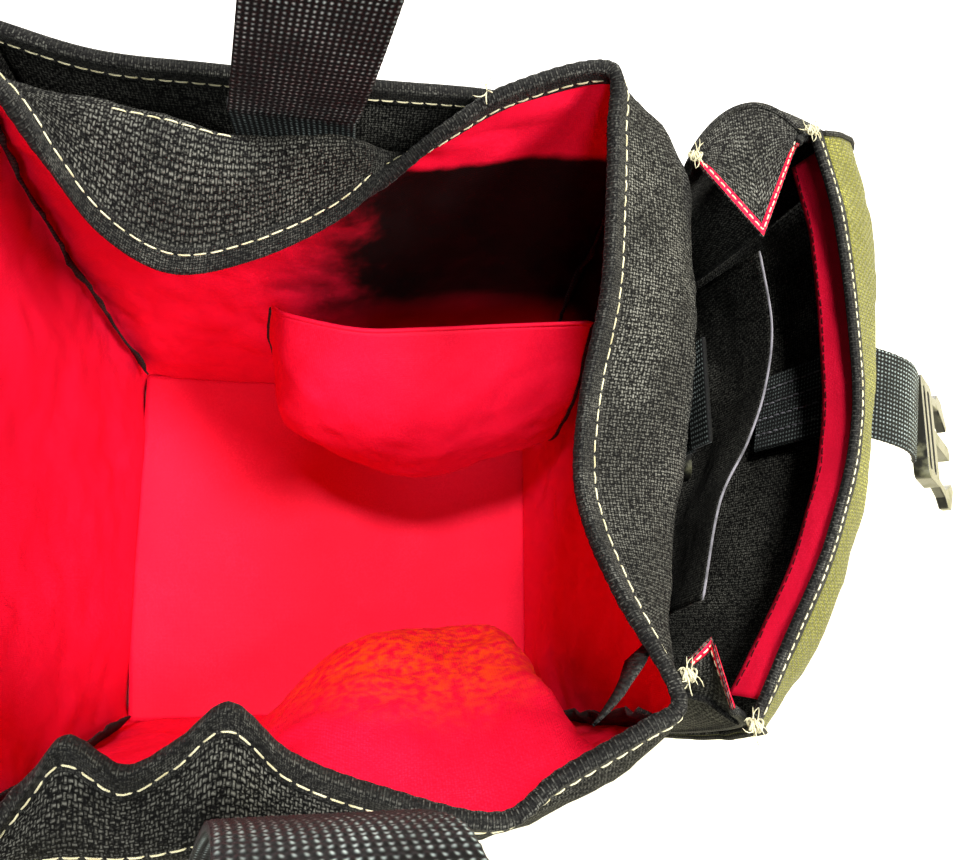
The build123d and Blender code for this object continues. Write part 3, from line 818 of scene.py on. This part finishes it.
# Places on the ring: (column, level) in steps of the table
SECOND_ROWS = (((2.8, 3.1), (4.9, 3.0)), ((28.2, 3.1), (24.2, 3.05)))
KNOT_SPOT = (8.7, 4.9)
tack_lines = Sheet()
for start, end in SECOND_ROWS:
    path, facing = ring_line(start, end)
    stitch_line(tack_lines, path, facing, 0.1)
place(tack_lines, "second_stitch_rows", CREAM, "bag")

knots = Sheet()
knot_place, _ = on_ring(*KNOT_SPOT)
frayed(knots, knot_place + np.array([0, 1.5, 1.5]), 5, 5.0, 1.3)
place(knots, "rim_thread_ends", CREAM, "bag")

# Base
left_edge = np.array([row[0] for row in NEAR_COLUMNS[-1:] + LEFT_COLUMNS + FAR_COLUMNS[:1]])


def base_layer(low, high, waves=0.0):
    """A flat layer between the feet of the walls, with its top in soft waves."""
    across = np.linspace(left_edge[0, 1], left_edge[-1, 1], 66)
    left = np.interp(across, left_edge[:, 1], left_edge[:, 0])
    along = left[:, None] + (RIGHT_COLUMNS[0][0][0] - left)[:, None] * np.linspace(0, 1, 76)
    rows = np.broadcast_to(across[:, None], along.shape)
    top = np.stack([along, rows, np.full(along.shape, high)], -1)
    bottom = np.stack([along, rows, np.full(along.shape, low)], -1)
    for cell in np.ndindex(along.shape):
        top[cell][2] += waves * noise.noise(Vector(top[cell]) / 24)
    sheet = Sheet()
    sheet.slab(top, bottom)
    return sheet


place(base_layer(0.0, CLOTH), "base_cloth", OUTER, "bag", "base_panel")
lining_low, lining_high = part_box("base_lining")
floor_sheet = base_layer(lining_low.z / MM + 0.1, lining_high.z / MM + 0.6, 0.9)
place(floor_sheet, "floor_lining", RED, "bag", "base_lining")
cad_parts["base_board"].data.materials.clear()
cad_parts["base_board"].data.materials.append(BOARD)

# Corner seams inside the bag
for name, column in (("far_left", 0), ("far_right", far_end - 1), ("near_right", right_end - 1),
                     ("near_left", near_end - 1)):
    mark = ring_marks[column] % len(ring)
    rows = slice(4, sum(LEVELS[:3]) - 2)
    spine = ring[mark, rows] - ring_out[mark, rows] * 2.4
    fin = spine - ring_out[mark, rows] * 8.0
    sway = np.sin(np.arange(len(spine)) * 0.5)[:, None] * np.cross(ring_out[mark, rows], (0, 0, 1))
    grid = np.stack([spine, (spine + fin) / 2 + sway * 0.4, fin + sway])
    cloth_piece(f"{name}_bound_seam", grid, normals(grid), 0.5, -0.5, TAPE, "bag",
                f"{name}_seam_binding")

tape_path = spline(TAPE_END, [6, 6])
tape_side = np.array([4.5, 4.0, 0.5])
tape_grid = np.stack([tape_path + tape_side, tape_path + (0, 0, 0.8), tape_path - tape_side])
cloth_piece("near_seam_tape_end", tape_grid, normals(tape_grid), 0.5, -0.5, TAPE, "bag")

# Inner pocket
inner, inner_out = settled(INNER_POCKET_COLUMNS, 1.8, 24, 8, 3.0)
top_row = int(inner.shape[1] * 0.9)
cloth_piece("inner_pocket_cloth", inner, inner_out, 0.3, -LINING, RED, "bag",
            "inner_pocket_panel", "inner_pocket_top")
outline = np.concatenate([inner[0, ::-1], inner[1:, 0], inner[-1, 1:]])
piping = Sheet()
piping.tube(outline, 1.3, 8, (0, 1, 0.2))
place(piping, "inner_pocket_seam", TAPE, "bag")
pocket_edge = Sheet()
pocket_edge.tube(inner[:, -1], 1.0, 8)
place(pocket_edge, "inner_pocket_rolled_edge", RED, "bag")
pocket_seam = Sheet()
stitch_line(pocket_seam, inner[:, top_row], inner_out[:, top_row], 0.3, 4.0, 2.8, 0.25)
place(pocket_seam, "inner_pocket_stitches", SEAM, "bag")

# Outside pocket
outside, outside_out = settled(OUTSIDE_POCKET_COLUMNS, 2.0, 30, 12)
cloth_piece("outside_pocket_cloth", outside, outside_out, 0, -CLOTH, OUTER, "bag",
            "outside_pocket_panel")
rim_top = outside[:, -1] + np.array([0, 0, 8])
pocket_hem = Sheet()
rolled_hem(pocket_hem, outside[:, -1], rim_top, outside_out[:, -1])
place(pocket_hem, "outside_pocket_band", TAPE, "bag", "outside_pocket_hem")
hem_seam = Sheet()
seam_line = rim_top - np.array([0, 0, STITCH_DEPTH])
both_faces(hem_seam, seam_line, outside_out[:, -1], HEM_FACE, HEM_BACK)
place(hem_seam, "outside_pocket_stitches", CREAM, "bag")
side_seams = Sheet()
for column in (1, -2):
    stitch_line(side_seams, outside[column], outside_out[column], 0.1)
place(side_seams, "outside_pocket_side_stitches", CREAM, "bag")
far_wall = wall_part(ring, "far").reshape(-1, 3)
for name, column, away in (("left", outside[0], -1), ("right", outside[-1], 1)):
    joined = np.array([far_wall[np.argmin(np.linalg.norm((far_wall - point)[:, ::2], axis=1))]
                       for point in column])
    shares = np.linspace(0.04, 0.96, 9)[:, None, None]
    bow = np.array([away * 2.0, 0, 0]) * np.sin(PI * shares)
    gore = joined[None] + (column - joined)[None] * shares + bow
    cloth_piece(f"outside_pocket_{name}_gore", gore, normals(gore), 0.4, -0.4, OUTER, "bag")


# Webbing


def webbing(name, left, right, thickness, body, *nodes, step=0.45):
    """Ribbed webbing between two edge lines, with its yarn crossings raised."""
    path = [np.asarray(left, float), np.asarray(right, float)]
    counts = span_counts(np.stack(path, 1), step)
    edges = spline(np.stack(path, 1), counts)
    across = np.linspace(0, 1, int(WEBBING_WIDTH / step) + 1)
    grid = edges[:, :1] * (1 - across)[None, :, None] + edges[:, 1:] * across[None, :, None]
    grid = grid.transpose(1, 0, 2)
    facing = normals(grid)
    u = across * WEBBING_WIDTH
    v = travelled(grid[len(grid) // 2])
    rows = np.floor(v / (WEBBING_PITCH * ROW_SHARE))
    crossing = 0.5 + 0.5 * np.cos(2 * PI * (u[:, None] / WEBBING_PITCH + 0.5 * rows[None]))
    lift = 0.34 * crossing * np.abs(np.sin(PI * v / (WEBBING_PITCH * ROW_SHARE)))[None]
    selvage = np.clip(1 - np.minimum(u, WEBBING_WIDTH - u) / 1.2, 0, 1)[:, None] * 0.25
    body_half = thickness / 2 - 0.15
    sheet = Sheet()
    sheet.slab(grid + facing * (body_half + lift - selvage)[..., None],
               grid - facing * (body_half + lift - selvage)[..., None])
    place(sheet, name, WEB, body, *nodes)
    return grid, facing


def turn_about_x(points, degrees):
    angle = math.radians(degrees)
    rotation = np.array([[1, 0, 0], [0, math.cos(angle), -math.sin(angle)],
                         [0, math.sin(angle), math.cos(angle)]])
    return points @ rotation.T


def loop_edges(hinge, outward, tilt):
    edges = []
    for edge in (-WEBBING_WIDTH / 2, WEBBING_WIDTH / 2):
        upright = np.array([(edge + LOOP_LEAN * height / LOOP_HEIGHT, outward * across, height)
                            for across, height in LOOP_PROFILE])
        edges.append(turn_about_x(upright, outward * tilt) + np.array(hinge))
    return edges


def box_stitch(sheet, grid, facing, lift, margin=3.0, long=22.0):
    """A stitched box with a cross in it, over the end of a piece of webbing."""
    wide, tall = grid.shape[:2]
    a = int(wide * margin / WEBBING_WIDTH)
    b = wide - 1 - a
    travel = np.linalg.norm(np.diff(grid[0], axis=0), axis=-1).mean()
    c = int(2.5 / travel)
    d = min(tall - 3, int((2.5 + long) / travel))
    corners = [(a, c), (b, c), (b, d), (a, d)]
    for start, end in ((0, 1), (1, 2), (2, 3), (3, 0), (0, 2), (1, 3)):
        steps = np.linspace(0, 1, 20)
        i = np.round(corners[start][0] + (corners[end][0] - corners[start][0]) * steps).astype(int)
        j = np.round(corners[start][1] + (corners[end][1] - corners[start][1]) * steps).astype(int)
        stitch_line(sheet, grid[i, j], facing[i, j], lift, 3.4, 2.6, 0.3)


for side, hinge, outward, tilt, foot in (
    ("far", FAR_HINGE, 1, 0, (4.5, 52, 3.5, 20)),
    ("near", NEAR_HINGE, -1, NEAR_LOOP_TILT, (3, 50, 2, 20)),
):
    webbing(f"{side}_loop_webbing", *loop_edges(hinge, outward, tilt), LOOP_THICKNESS, f"{side}_loop",
            f"{side}_handle")
    heights = (foot[:2], foot[2:], (0, -1.5))
    edges = [[(hinge[0] + edge, hinge[1] + outward * out, hinge[2] - down) for out, down in heights]
             for edge in (-WEBBING_WIDTH / 2, WEBBING_WIDTH / 2)]
    grid, facing = webbing(f"{side}_loop_sewn_end", *edges, SEWN_THICKNESS, "bag",
                           f"{side}_handle_end", step=0.6)
    crosses = Sheet()
    box_stitch(crosses, grid, facing * outward, 2.2)
    place(crosses, f"{side}_loop_box_stitches", GREY_THREAD, "bag")

# End pocket
front, front_marks = surface(POCKET_COLUMNS, 3.2)
front_out = normals(front)
front = crumple(front, front_out, 1.8, 30, 21)
front = crumple(front, front_out, 0.6, 10, 22)
front_out = normals(front)
front_travel = np.linalg.norm(np.diff(front, axis=1), axis=-1).mean(0)
front_hem_row = front.shape[1] - 1 - max(2, int(round(HEM_WIDTH / front_travel[-1])))
# The pocket front's black cloth carries the painted olive light
cloth_piece("pocket_front_cloth", front[:, :front_hem_row + 1], front_out[:, :front_hem_row + 1],
            0, -CLOTH, BLACK_WEAVE_OLIVE_LIGHT, "pocket_front", "pocket_front_panel")
hung = front[:, :front_hem_row + 1] - front_out[:, :front_hem_row + 1] * (CLOTH + LINING_GAP)
hung_out = normals(hung)
cloth_piece("pocket_front_lining_cloth", hung, hung_out, 0, -LINING, OUTER, "pocket_front",
            "pocket_front_lining")

# A red facing hangs free from the inside of the hem
first = int(front_marks[1] * FACING_INSET)
last = int(front_marks[-1] - (front_marks[-1] - front_marks[-2]) * FACING_INSET)
facing_top = (hung[:, -1] - hung_out[:, -1] * (LINING + FACING_GAP))[first:last]
drop = np.linspace(FACING_DROP, 0, 9)
lean = np.array([FACING_LEAN / FACING_DROP, 0, 1.0])
facing_grid = facing_top[:, None] - drop[None, :, None] * lean
facing_grid = crumple(facing_grid, normals(facing_grid), 0.6, 14, 23, 0.01)
facing_out = normals(facing_grid)
cloth_piece("pocket_front_facing_cloth", facing_grid, facing_out, 0, -LINING, RED, "pocket_front",
            "pocket_front_facing")
facing_seam = Sheet()
stitch_line(facing_seam, facing_grid[:, 1] - facing_out[:, 1] * (LINING + 0.1), -facing_out[:, 1],
            *THIN_STITCH, 0.22)
place(facing_seam, "pocket_front_facing_stitches", SEAM, "pocket_front")
THIN_HEM = [
    (7.2, -0.1), (6.9, 0.5), (5.2, 0.6), (3.0, 0.7), (1.2, 0.9), (0.2, 0.3), (0.0, -0.6),
    (0.2, -1.5), (1.2, -2.2), (3.0, -2.0), (5.2, -1.9), (6.9, -1.8), (7.2, -1.2),
]
front_band = Sheet()
front_toward = rolled_hem(front_band, front[:, front_hem_row], front[:, -1], front_out[:, -2], THIN_HEM)
place(front_band, "pocket_front_band", TAPE, "pocket_front", "pocket_front_hem")
front_seam = Sheet()
front_line = front[:, -1] - front_toward * 3.0
both_faces(front_seam, front_line, front_out[:, -2], 0.65, 2.0, *THIN_STITCH, 0.28)
place(front_seam, "pocket_front_stitches", CREAM, "pocket_front")
for name, column in (("far", 0), ("near", -1)):
    cord = Sheet()
    cord.tube(front[column, 2:-2] + front_out[column, 2:-2] * 0.3, 1.1, 8, (1, 0, 0))
    place(cord, f"pocket_{name}_piping", TAPE, "pocket_front")

GUSSET_TAPE = [
    (5.0, 0.0), (4.8, 0.55), (2.6, 0.6), (0.6, 0.7), (0.0, 0.0), (0.6, -0.7), (2.6, -0.6), (4.8, -0.55),
]
FAR_BLEND = ((0.121, 0.0, 0.0), (0.150, 0.0, 0.0))
NEAR_BLEND = ((0.1183, -0.1183, 0.0517), (0.1265, -0.1265, 0.0553))


def blended(sheet, name, material, ends, *nodes):
    made = sheet.build(name, material)
    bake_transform(made)
    if nodes:
        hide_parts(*nodes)
    return made


def pleated(columns, step):
    """A grid that keeps a sharp fold at each table column, and where each level falls in it."""
    levels = np.asarray(columns, float).transpose(1, 0, 2)
    level_counts = span_counts(levels, step)
    tall = spline(levels, level_counts).transpose(1, 0, 2)
    legs = [start + (end - start) * np.arange(count)[:, None, None] / count
            for start, end, count in zip(tall[:-1], tall[1:], span_counts(tall, step))]
    return np.concatenate(legs + [tall[-1:]]), np.concatenate([[0], np.cumsum(level_counts)])


# How far each level of a gusset swells outward between its seams
FAR_SWELL = (0, 0, 8, 18, 17, 0)
NEAR_SWELL = (0, 0, 1, 1, 0)
for side, table, outward, ends, swell in (("far", FAR_GUSSET, 1, FAR_BLEND, FAR_SWELL),
                                          ("near", NEAR_GUSSET, -1, NEAR_BLEND, NEAR_SWELL)):
    gusset, level_marks = pleated(table, 2.2)
    across = np.sin(PI * np.linspace(0, 1, len(gusset))) ** 0.8
    gusset[..., 1] += outward * across[:, None] * np.interp(range(gusset.shape[1]), level_marks, swell)
    facing = normals(gusset) * outward
    skin = Sheet()
    skin.slab(gusset + facing * 0.5, gusset)
    blended(skin, f"{side}_gusset_cloth", OUTER, ends, f"{side}_gusset")
    backing = Sheet()
    backing.slab(gusset - facing * 0.05, gusset - facing * 0.5)
    blended(backing, f"{side}_gusset_lining", OUTER, ends)
    seams = Sheet()
    for column in (0, -1):
        seams.tube(gusset[column], 1.7, 8, (1, 0, 0))
    seams.tube(gusset[:, level_marks[-2]] + facing[:, level_marks[-2]], 1.1, 8)
    blended(seams, f"{side}_gusset_seams", TAPE, ends)
    band = Sheet()
    foot, edge = gusset[:, -4], gusset[:, -1]
    toward = rolled_hem(band, foot, edge, facing[:, -1], GUSSET_TAPE)
    blended(band, f"{side}_gusset_tape", RED, ends)
    seam = Sheet()
    stitch_line(seam, edge - toward * 2.4 + facing[:, -1] * 0.6, facing[:, -1], 0, 3.0, 2.3, 0.27)
    blended(seam, f"{side}_gusset_stitches", CREAM, ends)

divider, divider_out = settled(DIVIDER_COLUMNS, 1.2, 22, 31)
cloth_piece("divider_cloth", divider, divider_out, 0.4, -0.4, OUTER, "bag", "pocket_divider")
divider_piping = Sheet()
divider_piping.tube(divider[:, -1], 0.45, 8)
place(divider_piping, "divider_piping", GREY_THREAD, "bag")

# Thread bartacks, worked as wraps of thread with frayed ends
for node, body, places in (
    ("bag_bartacks", "bag", ((115.5, 118.5, 229.0), (101, -53.5, 230.4))),
    ("pocket_bartacks", "pocket_front", ((161.5, 134, 229.6), (121, -68, 230.0))),
):
    tacks = Sheet()
    for seed, where in enumerate(places):
        for wrap in range(7):
            x = where[0] - 1.8 + wrap * 0.6
            sway = 0.5 * math.sin(wrap * 2.1 + seed)
            arc = [[x + 0.4 * math.sin(turn * 2 + wrap), where[1] + sway + 1.5 * math.cos(turn),
                    where[2] + 0.9 * math.sin(turn)] for turn in np.linspace(0, 2 * PI, 14)]
            tacks.tube(arc, 0.3, 6, (1, 0, 0), 1.0)
        frayed(tacks, where, 11, 5.5, seed + 0.6, 0.16)
    place(tacks, f"{node}_threads", CREAM, body, node)

# Buckle strap
yaw = math.radians(STRAP_YAW)
strap_edges = []
for edge in (WEBBING_WIDTH / 2, -WEBBING_WIDTH / 2):
    strap_edges.append([
        (STRAP_ROOT[0] + along * math.cos(yaw) - edge * math.sin(yaw),
         STRAP_ROOT[1] + along * math.sin(yaw) + edge * math.cos(yaw),
         STRAP_ROOT[2] + up) for along, up in STRAP_PROFILE])
webbing("buckle_strap_webbing", *strap_edges, STRAP_THICKNESS, "strap", "buckle_strap")
patch = [[(x - PATCH_GAP, y, z) for x, z in zip(row, PATCH_HEIGHTS)] for y, *row in PATCH_COLUMNS]
grid, facing = webbing("strap_backing_webbing", *patch, STRAP_THICKNESS, "pocket_front",
                       "strap_backing", step=0.6)
backing_rows = Sheet()
for share in (0.2, 0.4, 0.6, 0.8):
    i = int(share * (len(grid) - 1))
    stitch_line(backing_rows, grid[i], -facing[i], 1.0, 3.6, 2.6, 0.35)
place(backing_rows, "strap_backing_stitches", GREY_THREAD, "pocket_front")


# Buckle, its prongs and the mating half


def moulded(node, body, width=0.0005):
    """The node's own shape with its moulded edges rounded off."""
    shape = bmesh.new()
    shape.from_mesh(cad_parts[node].data)
    bmesh.ops.remove_doubles(shape, verts=shape.verts, dist=1e-6)
    bmesh.ops.dissolve_limit(shape, angle_limit=math.radians(1), verts=shape.verts, edges=shape.edges)
    sharp = [edge for edge in shape.edges
             if len(edge.link_faces) == 2 and edge.calc_face_angle(0) > math.radians(35)]
    bmesh.ops.bevel(shape, geom=sharp, offset=width, segments=2, profile=0.5, affect="EDGES",
                    clamp_overlap=True)
    mesh = bpy.data.meshes.new(f"{node}_moulding")
    shape.to_mesh(mesh)
    shape.free()
    mesh.materials.append(PLASTIC)
    made = bpy.data.objects.new(f"{node}_moulding", mesh)
    bpy.context.scene.collection.objects.link(made)
    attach(made, body)
    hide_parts(node)


for node, body in (("male_buckle", "buckle"), ("far_prong", "prong_far"), ("near_prong", "prong_near"),
                   ("female_buckle", "mating_strap")):
    moulded(node, body)

for node, body in (("closure_strap", "mating_strap"), ("closure_strap_end", "bag")):
    low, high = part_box(node)
    x = (low.x + high.x) / 2 / MM
    webbing(f"{node}_webbing", [(x, high.y / MM, high.z / MM), (x, high.y / MM, low.z / MM)],
            [(x, low.y / MM, high.z / MM), (x, low.y / MM, low.z / MM)], STRAP_THICKNESS, body,
            node, step=0.6)

# Floor, light and camera
FLOOR_REACH = 3.0
FLOOR_DROP = -0.0006
stage_mesh = bpy.data.meshes.new("floor")
corners = [(x * FLOOR_REACH, y * FLOOR_REACH, FLOOR_DROP)
           for x, y in ((-1, -1), (1, -1), (1, 1), (-1, 1))]
stage_mesh.from_pydata(corners, [], [(0, 1, 2, 3)])
stage_mesh.materials.append(floor_material("pale_floor"))
floor = bpy.data.objects.new("floor", stage_mesh)
bpy.context.scene.collection.objects.link(floor)


def area_light(name, place_at, target, size, power, colour):
    data = bpy.data.lights.new(name, "AREA")
    data.shape = "DISK"
    data.size = size
    data.energy = power
    data.color = colour
    lamp = bpy.data.objects.new(name, data)
    lamp.location = place_at
    lamp.rotation_euler = (Vector(target) - Vector(place_at)).to_track_quat("-Z", "Y").to_euler()
    bpy.context.scene.collection.objects.link(lamp)


area_light("key", (-0.14, 0.34, 1.45), (0, 0, 0.1), 0.20, 25, (1.0, 0.98, 0.96))
area_light("left_wall_fill", (0.52, -0.10, 0.95), (-0.12, 0, 0.12), 0.30, 15, (1.0, 0.97, 0.95))
area_light("front_fill", (0.0, -0.42, 1.0), (0, 0.1, 0.2), 0.2, 4, (0.97, 1.0, 1.0))
area_light("far_fill", (0.3, 1.6, 0.9), (0, 0.5, 0), 0.9, 22, (1.0, 0.99, 0.96))
area_light("warm_side", (1.2, 0.25, 0.45), (0.18, 0, 0.15), 0.5, 8, (1.0, 0.90, 0.50))

world = bpy.data.worlds.new("studio")
world.use_nodes = True
world.node_tree.nodes["Background"].inputs[0].default_value = (1.0, 0.98, 0.94, 1)
world.node_tree.nodes["Background"].inputs[1].default_value = 0.06
bpy.context.scene.world = world
bpy.context.scene.view_settings.view_transform = "Standard"

camera_data = bpy.data.cameras.new("camera")
camera_data.lens = 28.125
camera_data.sensor_width = 36
camera_data.clip_start = 0.01
camera = bpy.data.objects.new("camera", camera_data)
camera.location = (0.0, -0.032, 0.445)
camera.rotation_euler = (math.radians(12.77), math.radians(-10.32), 0)
bpy.context.scene.collection.objects.link(camera)
bpy.context.scene.camera = camera
